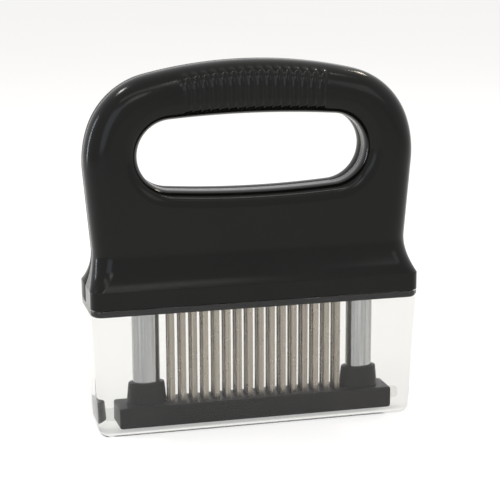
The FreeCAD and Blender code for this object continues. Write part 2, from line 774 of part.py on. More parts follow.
def tapered_box(low_length, low_depth, high_length, high_depth, low, high, corner, floor_round):
    """A box with sloping walls, rounded upright edges and a rounded floor edge."""
    foot = (low_length / 2, low_depth / 2)
    head = (high_length / 2, high_depth / 2)
    box = Part.makeWedge(
        -foot[0], low, -foot[1], -head[1], -head[0], foot[0], high, foot[1], head[1], head[0]
    )
    box.rotate(V(0, 0, 0), V(1, 0, 0), 90)
    upright = [edge for edge in box.Edges if edge.BoundBox.ZLength > (high - low) / 2]
    box = box.makeFillet(corner, upright)
    floor_edges = [edge for edge in box.Edges if edge.BoundBox.ZMax < low + 0.01]
    return box.makeFillet(floor_round, floor_edges)


def cover_size_at(z):
    """Outer length and depth of the cover at one level."""
    share = z / RIM_BOTTOM
    length = WIDTH - 2 * COVER_TAPER * (1 - share)
    depth = DEPTH - 2 * COVER_TAPER_DEEP * (1 - share)
    return length, depth


def clear_cover():
    """The clear box that covers the blades: open at the top, its walls drawn in towards the floor."""
    low = cover_size_at(0.0)
    outer = tapered_box(*low, WIDTH, DEPTH, 0.0, RIM_BOTTOM, RIM_CORNER, COVER_EDGE_ROUND)
    two_walls = 2 * COVER_WALL
    inner_corner = RIM_CORNER - COVER_WALL
    seat = BASE_BOTTOM - COVER_SEAT_GAP
    floor_size = [size - two_walls for size in cover_size_at(COVER_FLOOR)]
    seat_size = [size - two_walls for size in cover_size_at(seat)]
    inner = tapered_box(*floor_size, *seat_size, COVER_FLOOR, seat, inner_corner, COVER_INNER_ROUND)
    mouth = rounded_block(WIDTH - two_walls, DEPTH - two_walls, inner_corner, seat, RIM_BOTTOM + 1)
    return outer.cut(inner).cut(mouth)


def main():
    """Builds every piece and writes one file for each node."""
    os.makedirs("parts", exist_ok=True)
    front, rear = handle_shells()
    nodes = {
        "handle_front_shell": front,
        "handle_rear_shell": rear,
        "base_plate": base_plate(),
        "base_plate_screws": base_screws(),
        "blade_row_front": blade_row(-1),
        "blade_row_middle": blade_row(0),
        "blade_row_rear": blade_row(1),
        "blade_clamp_bar": blade_clamp(),
        "clamp_bar_screws": clamp_screws(),
        "pressure_plate": pressure_plate(),
        "clear_cover": clear_cover(),
    }
    for name, side in (("left", -1), ("right", 1)):
        nodes["post_bush_" + name] = post_bush(side)
        nodes["guide_post_" + name] = guide_post(side)
        nodes["post_collar_" + name] = post_collar(side)
        nodes["post_screw_" + name] = post_screw(side)
        nodes["return_spring_" + name] = return_spring(side)
        nodes["end_buffer_" + name] = end_buffer(side)
    for name, shape in nodes.items():
        shape.exportStep(os.path.join("parts", name + ".step"))
        print(name, len(shape.Solids), shape.isValid(), round(shape.Volume, 1))
    print("spring self-gap", round(spring_self_gap(), 3), "mm")


main()
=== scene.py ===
"""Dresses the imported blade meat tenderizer: fine meshes, finishes, a pale studio and the camera.

Sizes are in millimetres, as on the real tool, and become metres when a mesh is built.
+Z is up, +X is to the right and -Y is the front. The origin is the middle of the cover's underside.
"""

import logging
import math
from dataclasses import dataclass, field
from enum import Enum

import bmesh
import bpy
from mathutils import Matrix, Vector
from mathutils.geometry import tessellate_polygon


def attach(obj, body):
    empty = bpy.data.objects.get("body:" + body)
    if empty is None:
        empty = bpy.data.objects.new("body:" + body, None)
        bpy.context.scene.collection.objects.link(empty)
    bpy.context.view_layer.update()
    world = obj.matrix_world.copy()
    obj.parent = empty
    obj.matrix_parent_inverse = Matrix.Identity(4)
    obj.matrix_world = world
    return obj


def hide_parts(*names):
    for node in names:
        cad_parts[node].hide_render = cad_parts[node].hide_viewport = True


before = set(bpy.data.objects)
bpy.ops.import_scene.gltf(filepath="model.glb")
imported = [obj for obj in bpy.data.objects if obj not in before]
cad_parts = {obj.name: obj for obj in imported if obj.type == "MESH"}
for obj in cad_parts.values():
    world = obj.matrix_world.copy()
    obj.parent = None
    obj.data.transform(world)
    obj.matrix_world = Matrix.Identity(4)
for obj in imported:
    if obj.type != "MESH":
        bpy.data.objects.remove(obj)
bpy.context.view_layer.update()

MM = 0.001
NOISE_LOW = 0.3
NOISE_HIGH = 0.7
BACKGROUND_RAYS = ("Camera", "Glossy", "Transmission")
LOG = logging.getLogger("tenderizer")

Point = tuple[float, float, float]
Colour = tuple[float, float, float]


class Body(str, Enum):
    """The moving bodies of the tool."""

    HANDLE = "handle"
    CARRIAGE = "pressure_carriage"
    COVER = "cover"


class Slot(str, Enum):
    """The material slots that the finishes stand for."""

    BLACK_PLASTIC = "black_plastic"
    PLATE_PLASTIC = "plate_plastic"
    CLEAR_PLASTIC = "clear_plastic"
    POST_CHROME = "post_chrome"
    BLADE_STEEL = "blade_steel"
    BUSH_PLASTIC = "bush_plastic"
    SCREW_STEEL = "screw_steel"
    SPRING_STEEL = "spring_steel"


def smooth_step(low: float, high: float, value: float) -> float:
    """Rises smoothly from 0 at low to 1 at high.

    Args:
        low: Value where the rise starts.
        high: Value where it ends.
        value: Where it is read.

    Returns:
        A share from 0 to 1.
    """
    share = min(max((value - low) / (high - low), 0.0), 1.0)
    return share * share * (3.0 - 2.0 * share)


def any_ray(tree: bpy.types.NodeTree, *kinds: str) -> bpy.types.NodeSocket:
    """Tells whether a ray is of one of some kinds.

    Args:
        tree: The node tree that asks.
        kinds: Names of the kinds, such as Camera.

    Returns:
        The socket that is 1 for such a ray.
    """
    path = tree.nodes.new("ShaderNodeLightPath")
    found = path.outputs["Is %s Ray" % kinds[0]]
    for kind in kinds[1:]:
        either = tree.nodes.new("ShaderNodeMath")
        either.operation = "MAXIMUM"
        tree.links.new(found, either.inputs[0])
        tree.links.new(path.outputs["Is %s Ray" % kind], either.inputs[1])
        found = either.outputs["Value"]
    return found


class NodeSheet:
    """A material's node tree, with short ways to add and join nodes."""

    def __init__(self, name: str) -> None:
        """Starts an empty node tree under a material name."""
        self.material = bpy.data.materials.new(name)
        self.material.use_nodes = True
        self.tree = self.material.node_tree
        self.shader = self.tree.nodes["Principled BSDF"]
        self.output = self.tree.nodes["Material Output"]

    def node(self, kind: str, **settings: object) -> bpy.types.Node:
        """Adds one node.

        Args:
            kind: The node's class name.
            settings: Attributes of the node.

        Returns:
            The new node.
        """
        made = self.tree.nodes.new(kind)
        for key, value in settings.items():
            setattr(made, key, value)
        return made

    def join(self, source: bpy.types.NodeSocket, target: bpy.types.NodeSocket) -> None:
        """Links one output to one input."""
        self.tree.links.new(source, target)

    def place(self, stretch: Point = (1.0, 1.0, 1.0)) -> bpy.types.NodeSocket:
        """Coordinates on the object in metres.

        Args:
            stretch: Factor along each axis.

        Returns:
            The socket that gives the coordinates.
        """
        where = self.node("ShaderNodeTexCoord")
        mapping = self.node("ShaderNodeMapping")
        mapping.inputs["Scale"].default_value = stretch
        self.join(where.outputs["Object"], mapping.inputs["Vector"])
        return mapping.outputs["Vector"]

    def noise(self, scale: float, detail: float = 3.0,
              stretch: Point = (1.0, 1.0, 1.0)) -> bpy.types.NodeSocket:
        """A noise field.

        Args:
            scale: Waves per metre.
            detail: How many finer layers it has.
            stretch: Factor along each axis.

        Returns:
            The socket with the field's value.
        """
        made = self.node("ShaderNodeTexNoise")
        made.inputs["Scale"].default_value = scale
        made.inputs["Detail"].default_value = detail
        self.join(self.place(stretch), made.inputs["Vector"])
        return made.outputs["Fac"]

    def spread(self, source: bpy.types.NodeSocket, low: float, high: float) -> bpy.types.NodeSocket:
        """Maps the middle of a noise field onto a range.

        Args:
            source: The field.
            low: Value where the field is low.
            high: Value where it is high.

        Returns:
            The socket with the mapped value.
        """
        made = self.node("ShaderNodeMapRange")
        made.inputs["From Min"].default_value = NOISE_LOW
        made.inputs["From Max"].default_value = NOISE_HIGH
        made.inputs["To Min"].default_value = low
        made.inputs["To Max"].default_value = high
        self.join(source, made.inputs["Value"])
        return made.outputs["Result"]

    def tint(self, source: bpy.types.NodeSocket, dark: Colour, light: Colour) -> None:
        """Colours the shader between two tones by a field.

        Args:
            source: The field.
            dark: Colour where the field is low.
            light: Colour where it is high.
        """
        ramp = self.node("ShaderNodeValToRGB")
        ramp.color_ramp.elements[0].position = NOISE_LOW
        ramp.color_ramp.elements[0].color = (*dark, 1.0)
        ramp.color_ramp.elements[1].position = NOISE_HIGH
        ramp.color_ramp.elements[1].color = (*light, 1.0)
        self.join(source, ramp.inputs["Fac"])
        self.join(ramp.outputs["Color"], self.shader.inputs["Base Color"])

    def bump(self, layers: list[tuple[bpy.types.NodeSocket, float]]) -> None:
        """Raises the surface by some fields.

        Args:
            layers: Each field with its height in millimetres.
        """
        below = None
        for source, height in layers:
            made = self.node("ShaderNodeBump")
            made.inputs["Strength"].default_value = 1.0
            made.inputs["Distance"].default_value = height * MM
            self.join(source, made.inputs["Height"])
            if below is not None:
                self.join(below, made.inputs["Normal"])
            below = made.outputs["Normal"]
        self.join(below, self.shader.inputs["Normal"])


@dataclass(frozen=True)
class Finish:
    """What every finish has: a name, a slot and a material made once."""

    name: str
    slot: Slot

    def material(self) -> bpy.types.Material:
        """Gives the material, building it on first use."""
        found = bpy.data.materials.get(self.name)
        if found is None:
            sheet = NodeSheet(self.name)
            self.dress(sheet)
            found = sheet.material
        return found

    def dress(self, sheet: NodeSheet) -> None:
        """Fills in the node tree; each finish has its own way."""
        raise NotImplementedError


@dataclass(frozen=True)
class MouldedPlastic(Finish):
    """Opaque moulded plastic: a faint flow in its tone, and a skin that is not quite flat."""

    dark: Colour
    light: Colour
    smooth: float
    rough: float
    ripple: float
    grain: float
    gloss: float = 0.5
    index: float = 1.5
    flow_scale: float = 35.0
    wear_scale: float = 190.0
    ripple_scale: float = 240.0
    grain_scale: float = 3600.0

    def dress(self, sheet: NodeSheet) -> None:
        """Fills in the node tree."""
        flow = sheet.noise(self.flow_scale, 4.0)
        sheet.tint(flow, self.dark, self.light)
        wear = sheet.noise(self.wear_scale, 5.0)
        sheet.join(sheet.spread(wear, self.smooth, self.rough), sheet.shader.inputs["Roughness"])
        sheet.shader.inputs["IOR"].default_value = self.index
        sheet.shader.inputs["Specular IOR Level"].default_value = self.gloss
        ripple = sheet.noise(self.ripple_scale, 2.0)
        grain = sheet.noise(self.grain_scale, 2.0)
        sheet.bump([(ripple, self.ripple), (grain, self.grain)])


@dataclass(frozen=True)
class ClearPlastic(Finish):
    """Clear moulded plastic that lets light rays pass, so what is inside stays lit."""

    colour: Colour = (0.88, 0.88, 0.878)
    rough: float = 0.006
    index: float = 1.49
    shade: Colour = (0.93, 0.93, 0.925)
    gloss: float = 0.25
    haze_scale: float = 60.0
    haze_share: float = 0.992
    wear_scale: float = 420.0
    wear_low: float = 0.4
    wear_high: float = 1.6
    wave_scale: float = 95.0
    wave_height: float = 0.012

    def dress(self, sheet: NodeSheet) -> None:
        """Fills in the node tree."""
        shader = sheet.shader
        shader.inputs["Transmission Weight"].default_value = 1.0
        shader.inputs["IOR"].default_value = self.index
        shader.inputs["Specular IOR Level"].default_value = self.gloss
        haze = sheet.noise(self.haze_scale, 3.0)
        sheet.tint(haze, tuple(c * self.haze_share for c in self.colour), self.colour)
        wear = sheet.noise(self.wear_scale, 4.0)
        worn = sheet.spread(wear, self.rough * self.wear_low, self.rough * self.wear_high)
        sheet.join(worn, shader.inputs["Roughness"])
        sheet.bump([(sheet.noise(self.wave_scale, 2.0), self.wave_height)])
        passing = sheet.node("ShaderNodeBsdfTransparent")
        passing.inputs["Color"].default_value = (*self.shade, 1.0)
        mix = sheet.node("ShaderNodeMixShader")
        sheet.join(any_ray(sheet.tree, "Shadow", "Diffuse", "Glossy"), mix.inputs["Fac"])
        sheet.join(shader.outputs["BSDF"], mix.inputs[1])
        sheet.join(passing.outputs["BSDF"], mix.inputs[2])
        sheet.join(mix.outputs["Shader"], sheet.output.inputs["Surface"])


@dataclass(frozen=True)
class DrawnMetal(Finish):
    """Metal with fine marks along one axis, as drawn, ground or plated stock has."""

    dark: Colour
    light: Colour
    smooth: float
    rough: float
    marks: Point
    depth: float
    cloud_scale: float = 160.0

    def dress(self, sheet: NodeSheet) -> None:
        """Fills in the node tree."""
        shader = sheet.shader
        shader.inputs["Metallic"].default_value = 1.0
        lines = sheet.noise(1.0, 4.0, self.marks)
        sheet.tint(lines, self.dark, self.light)
        cloud = sheet.noise(self.cloud_scale, 4.0)
        sheet.join(sheet.spread(cloud, self.smooth, self.rough), shader.inputs["Roughness"])
        sheet.bump([(lines, self.depth)])


BLACK_GLOSS = MouldedPlastic(
    "black gloss plastic", Slot.BLACK_PLASTIC,
    dark=(0.0030, 0.0030, 0.0024), light=(0.0050, 0.0050, 0.0042),
    smooth=0.13, rough=0.19, ripple=0.002, grain=0.0003, gloss=0.2,
)
BLACK_SATIN = MouldedPlastic(
    "black satin plastic", Slot.PLATE_PLASTIC,
    dark=(0.010, 0.009, 0.0082), light=(0.014, 0.0126, 0.0115),
    smooth=0.26, rough=0.36, ripple=0.002, grain=0.0002, gloss=0.06,
)
BUSH_PLASTIC = MouldedPlastic(
    "bush plastic", Slot.BUSH_PLASTIC,
    dark=(0.42, 0.41, 0.38), light=(0.50, 0.49, 0.46),
    smooth=0.38, rough=0.5, ripple=0.003, grain=0.003,
)
CLEAR_PLASTIC = ClearPlastic("clear plastic", Slot.CLEAR_PLASTIC)
POST_CHROME = DrawnMetal(
    "post chrome", Slot.POST_CHROME,
    dark=(0.29, 0.30, 0.31), light=(0.50, 0.50, 0.49),
    smooth=0.07, rough=0.13, marks=(900.0, 900.0, 14.0), depth=0.0006,
)
BLADE_STEEL = DrawnMetal(
    "blade steel", Slot.BLADE_STEEL,
    dark=(0.27, 0.245, 0.21), light=(0.45, 0.405, 0.34),
    smooth=0.24, rough=0.36, marks=(2600.0, 2600.0, 8.0), depth=0.0005,
)
SCREW_STEEL = DrawnMetal(
    "screw steel", Slot.SCREW_STEEL,
    dark=(0.50, 0.50, 0.49), light=(0.64, 0.64, 0.63),
    smooth=0.22, rough=0.34, marks=(700.0, 700.0, 700.0), depth=0.002,
)
SPRING_STEEL = DrawnMetal(
    "spring steel", Slot.SPRING_STEEL,
    dark=(0.42, 0.42, 0.42), light=(0.56, 0.56, 0.55),
    smooth=0.26, rough=0.38, marks=(500.0, 500.0, 500.0), depth=0.002,
)


class Draft:
    """A mesh in the making, in millimetres."""

    def __init__(self) -> None:
        """Starts with nothing."""
        self.points: list[Point] = []
        self.faces: list[list[int]] = []

    def row(self, points: list[Point]) -> list[int]:
        """Adds points.

        Args:
            points: The points in order.

        Returns:
            Their numbers in the mesh.
        """
        first = len(self.points)
        self.points.extend(points)
        return list(range(first, first + len(points)))

    def skin(self, rows: list[list[int]], closed: bool = True) -> None:
        """Fills the bands between neighbouring rows of equal length.

        Args:
            rows: The rows of point numbers.
            closed: Whether each row runs round to its own start.
        """
        count = len(rows[0])
        last = count if closed else count - 1
        for low, high in zip(rows, rows[1:]):
            for index in range(last):
                after = (index + 1) % count
                self.faces.append([low[index], low[after], high[after], high[index]])

    def cap(self, ring: list[int]) -> None:
        """Closes a ring with one flat face."""
        self.faces.append(list(ring))

    def fill(self, outline: list[int]) -> None:
        """Fills a flat outline, which may be hollow, with triangles."""
        loop = [Vector(self.points[number]) for number in outline]
        for triangle in tessellate_polygon([loop]):
            self.faces.append([outline[corner] for corner in triangle])

    def mesh(self, name: str) -> bpy.types.Mesh:
        """Builds the mesh in metres, welded and with its normals outward.

        Args:
            name: The mesh's name.

        Returns:
            The mesh.
        """
        made = bpy.data.meshes.new(name)
        made.from_pydata([Vector(p) * MM for p in self.points], [], self.faces)
        work = bmesh.new()
        work.from_mesh(made)
        bmesh.ops.remove_doubles(work, verts=work.verts, dist=1e-7)
        bmesh.ops.dissolve_degenerate(work, dist=1e-7, edges=work.edges)
        bmesh.ops.recalc_face_normals(work, faces=work.faces)
        work.to_mesh(made)
        work.free()
        return made


def show(draft: Draft, name: str) -> bpy.types.Object:
    """Links a draft into the scene as an object.

    Args:
        draft: The mesh in the making.
        name: The object's name.

    Returns:
        The object.
    """
    made = bpy.data.objects.new(name, draft.mesh(name))
    bpy.context.scene.collection.objects.link(made)
    return made


def settle(piece: bpy.types.Object) -> None:
    """Applies a piece's modifiers to its mesh."""
    graph = bpy.context.evaluated_depsgraph_get()
    done = bpy.data.meshes.new_from_object(piece.evaluated_get(graph))
    piece.modifiers.clear()
    piece.data = done


def dress(piece: bpy.types.Object, finish: Finish, body: Body, replaced: list[str],
          sharp: float = 32.0) -> None:
    """Gives a piece its shading, finish, body and the nodes it stands for.

    Args:
        piece: The piece.
        finish: Its finish.
        body: The body it rides on.
        replaced: The nodes it stands for.
        sharp: Edges that turn more than this many degrees stay crisp.
    """
    mesh = piece.data
    mesh.materials.clear()
    mesh.materials.append(finish.material())
    mesh.polygons.foreach_set("use_smooth", [True] * len(mesh.polygons))
    mesh.polygons.foreach_set("material_index", [0] * len(mesh.polygons))
    mesh.set_sharp_from_angle(angle=math.radians(sharp))
    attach(piece, body.value)
    if replaced:
        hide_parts(*replaced)
    LOG.info("%s: %d faces on %s", piece.name, len(mesh.polygons), body.value)


def carve(piece: bpy.types.Object, tool: Draft) -> None:
    """Cuts one closed draft out of a piece.

    Args:
        piece: The piece that loses material.
        tool: The cutter.
    """
    cutter = show(tool, piece.name + "_cutter")
    cut = piece.modifiers.new("cut", "BOOLEAN")
    cut.operation = "DIFFERENCE"
    cut.solver = "EXACT"
    cut.object = cutter
    bpy.context.view_layer.update()
    settle(piece)
    bpy.data.objects.remove(cutter)


def rounded_ring(half_x: float, half_y: float, corner: float, z: float, steps: int = 10) -> list[Point]:
    """A rounded rectangle about the Z axis.

    Args:
        half_x: Half its length.
        half_y: Half its depth.
        corner: Corner radius.
        z: Its level.
        steps: Segments in each corner.

    Returns:
        The points, going round.
    """
    points = []
    for side_x, side_y, start in ((1, -1, -90), (1, 1, 0), (-1, 1, 90), (-1, -1, 180)):
        centre_x = side_x * (half_x - corner)
        centre_y = side_y * (half_y - corner)
        for step in range(steps + 1):
            angle = math.radians(start + 90 * step / steps)
            points.append((centre_x + corner * math.cos(angle), centre_y + corner * math.sin(angle), z))
    return points


def quarter(radius: float, steps: int) -> list[tuple[float, float]]:
    """A rounded edge, as distances from the two faces that it joins.

    Args:
        radius: Radius of the edge.
        steps: Segments round it.

    Returns:
        Distance from the first face and from the second, from one end of the arc to the other.
    """
    turns = [math.pi / 2 * index / steps for index in range(steps + 1)]
    return [(radius * (1 - math.cos(turn)), radius * (1 - math.sin(turn))) for turn in turns]


def turned(profile: list[tuple[float, float]], x: float, y: float = 0.0, steps: int = 72) -> Draft:
    """A turned solid about an upright axis.

    Args:
        profile: Radius and level of each step, from one end of the axis to the other.
        x: Place of the axis along X.
        y: Place of the axis along Y.
        steps: Segments round the axis.

    Returns:
        The closed draft.
    """
    draft = Draft()
    rows = []
    for radius, z in profile:
        ring = []
        for step in range(steps):
            angle = math.tau * step / steps
            ring.append((x + radius * math.cos(angle), y + radius * math.sin(angle), z))
        rows.append(draft.row(ring))
    draft.skin(rows)
    draft.cap(rows[0])
    draft.cap(rows[-1])
    return draft


def add_block(draft: Draft, low: Point, high: Point) -> None:
    """Adds a closed rectangular block to a draft.

    Args:
        draft: The draft that grows.
        low: Lowest corner.
        high: Highest corner.
    """
    rows = []
    for z in (low[2], high[2]):
        corners = [(low[0], low[1], z), (high[0], low[1], z), (high[0], high[1], z), (low[0], high[1], z)]
        rows.append(draft.row(corners))
    draft.skin(rows)
    draft.cap(rows[0])
    draft.cap(rows[1])


@dataclass
class Station:
    """A place on an outline in the XZ plane, with the way its offsets go."""

    x: float
    z: float
    way_x: float
    way_z: float
    ridge: float = 0.0

    def at(self, offset: float) -> tuple[float, float]:
        """The place moved along its way."""
        return self.x + offset * self.way_x, self.z + offset * self.way_z


@dataclass
class HandleShells:
    """The two glossy shells of the loop handle, parted at the middle plane."""

    height: float = 165.0
    width: float = 150.0
    depth: float = 35.0
    rim_bottom: float = 59.2
    rim_top: float = 67.2
    waist_z: float = 84.0
    waist_half: float = 72.0
    grip_depth: float = 24.0
    crown_radius: float = 207.0
    shoulder_radius: float = 35.0
    flank_radius: float = 48.0
    shoulder_end: float = math.radians(72.0)
    outer_round: float = 10.5
    hole_round: float = 6.8
    rim_corner: float = 5.0
    skirt_hollow: float = 2.3
    hole_half: float = 51.9
    hole_floor: float = 107.5
    hole_top: float = 141.6
    hole_end: float = 15.6
    rib_count: int = 16
    rib_pitch: float = 4.0
    rib_half: float = 1.75
    rib_height: float = 0.75
    rib_columns: int = 10
    rib_fullness: float = 0.7
    outer_fade: tuple[float, float] = (38.0, 54.0)
    hole_fade: tuple[float, float] = (45.0, 70.0)
    wall: float = 2.0
    seam: float = 0.12
    shell_gap: float = 0.01
    support: float = 0.4
    skirt_rows: int = 22
    fillet_rows: int = 18
    skirt_crowding: float = 0.8
    waist_carry: int = 3
    finish: Finish = BLACK_GLOSS

    def arcs(self) -> list[tuple[float, float, float, float, float]]:
        """Right half of the outline: centre, radius, start and end of crown, shoulder and flank arcs."""
        step = self.shoulder_radius - self.flank_radius
        reach = self.crown_radius - self.shoulder_radius
        spread = self.width / 2 - self.flank_radius - step * math.sin(self.shoulder_end)
        crown_z = self.height - self.crown_radius
        crown_end = math.asin(spread / reach)
        shoulder_x = reach * math.sin(crown_end)
        shoulder_z = crown_z + reach * math.cos(crown_end)
        flank_x = shoulder_x + step * math.sin(self.shoulder_end)
        flank_z = shoulder_z + step * math.cos(self.shoulder_end)
        drop_x = self.waist_half - flank_x
        drop_z = self.waist_z - flank_z
        flank_end = math.atan2(drop_x, drop_z) - math.acos(self.flank_radius / math.hypot(drop_x, drop_z))
        return [
            (0.0, crown_z, self.crown_radius, 0.0, crown_end),
            (shoulder_x, shoulder_z, self.shoulder_radius, crown_end, self.shoulder_end),
            (flank_x, flank_z, self.flank_radius, self.shoulder_end, flank_end),
        ]

    def rib_edges(self) -> list[float]:
        """X places of the fine columns across the ribbed grip, right half, from 0 out."""
        reach = self.rib_count * self.rib_pitch / 2
        count = self.rib_count * self.rib_columns // 2
        return [reach * index / count for index in range(count + 1)]

    def ridge_at(self, x: float) -> float:
        """Height of the ribs at one X place: a row of rounded ridges."""
        from_rib = (abs(x) % self.rib_pitch) - self.rib_pitch / 2
        share = abs(from_rib) / self.rib_half
        if share >= 1.0:
            return 0.0
        return self.rib_height * math.cos(share * math.pi / 2) ** self.rib_fullness

    def outline(self) -> list[Station]:
        """The outline from the left waist over the crown to the right waist."""
        crown, shoulder, flank = self.arcs()
        right = []
        shrink = 1.0 - self.outer_round / self.crown_radius
        for x in self.rib_edges():
            angle = math.asin(x / shrink / self.crown_radius)
            right.append(self.on_arc(crown, angle, self.ridge_at(x)))
        start = math.asin(self.rib_edges()[-1] / shrink / self.crown_radius)
        for arc, begin, count in ((crown, start, 10), (shoulder, shoulder[3], 22), (flank, flank[3], 16)):
            for index in range(1, count + 1):
                right.append(self.on_arc(arc, begin + (arc[4] - begin) * index / count, 0.0))
        tangent = right[-1]
        lean = 1.0 / tangent.way_x
        for index in range(1, 9):
            share = index / 8
            x = tangent.x + (self.waist_half - tangent.x) * share
            z = tangent.z + (self.waist_z - tangent.z) * share
            right.append(Station(x, z, lean, 0.0))
        left = [Station(-s.x, s.z, -s.way_x, s.way_z, s.ridge) for s in reversed(right[1:])]
        return left + right

    @staticmethod
    def on_arc(arc: tuple[float, float, float, float, float], angle: float, ridge: float) -> Station:
        """A station on one arc.

        Args:
            arc: Centre, radius, start and end.
            angle: Measured from straight up, towards +X.
            ridge: Height of the ribs there.

        Returns:
            The station.
        """
        way_x = math.sin(angle)
        way_z = math.cos(angle)
        return Station(arc[0] + arc[2] * way_x, arc[1] + arc[2] * way_z, way_x, way_z, ridge)

    def hole(self) -> list[Station]:
        """The hand hole's outline, a closed ring that starts at the top left of the ribbed stretch."""
        rise = (self.hole_top - self.hole_floor) / 2
        middle = (self.hole_top + self.hole_floor) / 2
        reach = self.hole_half - self.hole_end
        shallow = (reach ** 2 + rise ** 2 - self.hole_end ** 2) / (2 * (rise - self.hole_end))
        lean = math.asin(reach / (shallow - self.hole_end))
        top = (0.0, middle + rise - shallow, shallow, 0.0, lean)
        grow = 1.0 + self.hole_round / shallow
        right = []
        for x in self.rib_edges():
            right.append(self.on_arc(top, math.asin(x / grow / shallow), self.ridge_at(x)))
        start = math.asin(self.rib_edges()[-1] / grow / shallow)
        if start < lean:
            right.append(self.on_arc(top, lean, 0.0))
        end = (reach, middle, self.hole_end, lean, math.pi - lean)
        for index in range(1, 41):
            right.append(self.on_arc(end, end[3] + (end[4] - end[3]) * index / 40, 0.0))
        floor = (0.0, middle - rise + shallow, shallow, math.pi - lean, math.pi)
        for index in range(1, 25):
            right.append(self.on_arc(floor, floor[3] + (floor[4] - floor[3]) * index / 24, 0.0))
        left = [Station(-s.x, s.z, -s.way_x, s.way_z, s.ridge) for s in reversed(right[1:-1])]
        ring = left + right
        first = len(left) - (len(self.rib_edges()) - 1)
        return ring[first:] + ring[:first]

    def edge_rows(self, radius: float) -> list[tuple[float, float, float]]:
        """Rows over a rounded edge: offset from the outline, depth, and turn from the side to the face."""
        flat = self.grip_depth / 2 - radius
        rows = [(self.seam, self.shell_gap, 0.0), (0.0, self.shell_gap + self.seam, 0.0)]
        for index in range(self.fillet_rows + 1):
            turn = math.pi / 2 * index / self.fillet_rows
            rows.append((radius * (1 - math.cos(turn)), flat + radius * math.sin(turn), turn))
        rows.append((radius + self.support, self.grip_depth / 2, math.pi / 2))
        return rows

    def ribbed(self, station: Station, row: tuple[float, float, float], inward: int,
               fade: tuple[float, float], side: int) -> Point:
        """One point of the skin near a rounded edge, raised where a rib runs.

        Args:
            station: Place on the outline.
            row: Offset, depth and turn of the row.
            inward: -1 where offsets go against the station's way, 1 where they go along it.
            fade: Turns in degrees between which the ribs rise.
            side: -1 for the front shell, 1 for the rear one.

        Returns:
            The point.
        """
        offset, deep, turn = row
        lift = station.ridge * smooth_step(fade[0], fade[1], math.degrees(turn))
        x, z = station.at(inward * (offset - lift * math.cos(turn)))
        return x, side * (deep + lift * math.sin(turn)), z

    def section(self, level: float, side: int, rows: list[tuple[float, float, float]]) -> list[Point]:
        """One level of the skirt or the rim, half way round from the left seam to the right seam.

        Args:
            level: Height above the floor.
            side: -1 for the front shell, 1 for the rear one.
            rows: The rows of the rounded edge above, which it carries on.

        Returns:
            The points.
        """
        share = min(max((level - self.rim_top) / (self.waist_z - self.rim_top), 0.0), 1.0)
        hollow = (1.0 - share) ** self.skirt_hollow
        flank = self.arcs()[-1]
        carry = -math.cos(flank[4]) / math.sin(flank[4]) * (self.waist_z - level) * share ** self.waist_carry
        inset = 0.0
        if level < self.rim_bottom + self.support:
            below = self.rim_bottom + self.support - level
            inset = self.support - math.sqrt(max(self.support ** 2 - below ** 2, 0.0))
        half_x = self.waist_half + (self.width / 2 - self.waist_half) * hollow - carry - inset
        half_y = (self.grip_depth + (self.depth - self.grip_depth) * hollow) / 2 - inset
        corner = self.outer_round + (self.rim_corner - self.outer_round) * hollow - inset
        right = []
        for offset, deep, _ in rows[:2]:
            right.append((half_x - offset, deep))
        for _, _, turn in rows[2:-1]:
            right.append((half_x - corner * (1 - math.cos(turn)), half_y - corner * (1 - math.sin(turn))))
        right.append((half_x - corner - self.support, half_y))
        flat = right[-1][0]
        along = [(flat * index / 6, half_y) for index in range(5, -6, -1)]
        left = [(-x, y) for x, y in reversed(right)]
        return [(-x, side * y, level) for x, y in right + along + left]

    def shell(self, side: int) -> Draft:
        """The outer skin of one shell.

        Args:
            side: -1 for the front shell, 1 for the rear one.

        Returns:
            The open skin.
        """
        draft = Draft()
        outline = self.outline()
        hole = self.hole()
        rim_rows = self.edge_rows(self.outer_round)
        hole_rows = self.edge_rows(self.hole_round)
        outer = []
        for row in rim_rows:
            outer.append(draft.row([self.ribbed(s, row, -1, self.outer_fade, side) for s in outline]))
        draft.skin(outer, closed=False)
        inner = []
        for row in hole_rows:
            inner.append(draft.row([self.ribbed(s, row, 1, self.hole_fade, side) for s in hole]))
        draft.skin(inner)
        count = 2 * len(self.rib_edges()) - 1
        first = (len(outline) - count) // 2
        upper = outer[-1][first:first + count]
        lower = inner[-1][:count]
        bands = [upper]
        for step in (0.25, 0.5, 0.75):
            band = []
            for high, low in zip(upper, lower):
                a = Vector(draft.points[high])
                b = Vector(draft.points[low])
                band.append(tuple(a.lerp(b, step)))
            bands.append(draft.row(band))
        bands.append(lower)
        draft.skin(bands, closed=False)
        levels = []
        for index in range(1, self.skirt_rows + 1):
            share = (index / self.skirt_rows) ** self.skirt_crowding
            levels.append(self.waist_z + (self.rim_top + self.support - self.waist_z) * share)
        levels += [self.rim_top + self.support / 2, self.rim_top, self.rim_top - self.support / 2]
        levels += [self.rim_top - self.support, self.rim_bottom + 2 * self.support]
        levels += [self.rim_bottom + self.support * share for share in (1.0, 0.6, 0.25, 0.0)]
        waist = [row[0] for row in outer]
        ends = [Vector(draft.points[outer[-1][0]]), Vector(draft.points[outer[-1][-1]])]
        along = draft.row([tuple(ends[0].lerp(ends[1], index / 12)) for index in range(1, 12)])
        waist = waist + along + [row[-1] for row in reversed(outer)]
        rows = [waist]
        for level in levels:
            rows.append(draft.row(self.section(level, side, rim_rows)))
        draft.skin(rows, closed=False)
        border = outer[-1][:first + 1] + [band[0] for band in bands[1:-1]] + [inner[-1][0]]
        border += list(reversed(inner[-1][count:])) + [inner[-1][count - 1]]
        border += [band[-1] for band in reversed(bands[1:-1])] + outer[-1][first + count - 1:]
        border += list(reversed(along))
        draft.fill(border)
        return draft

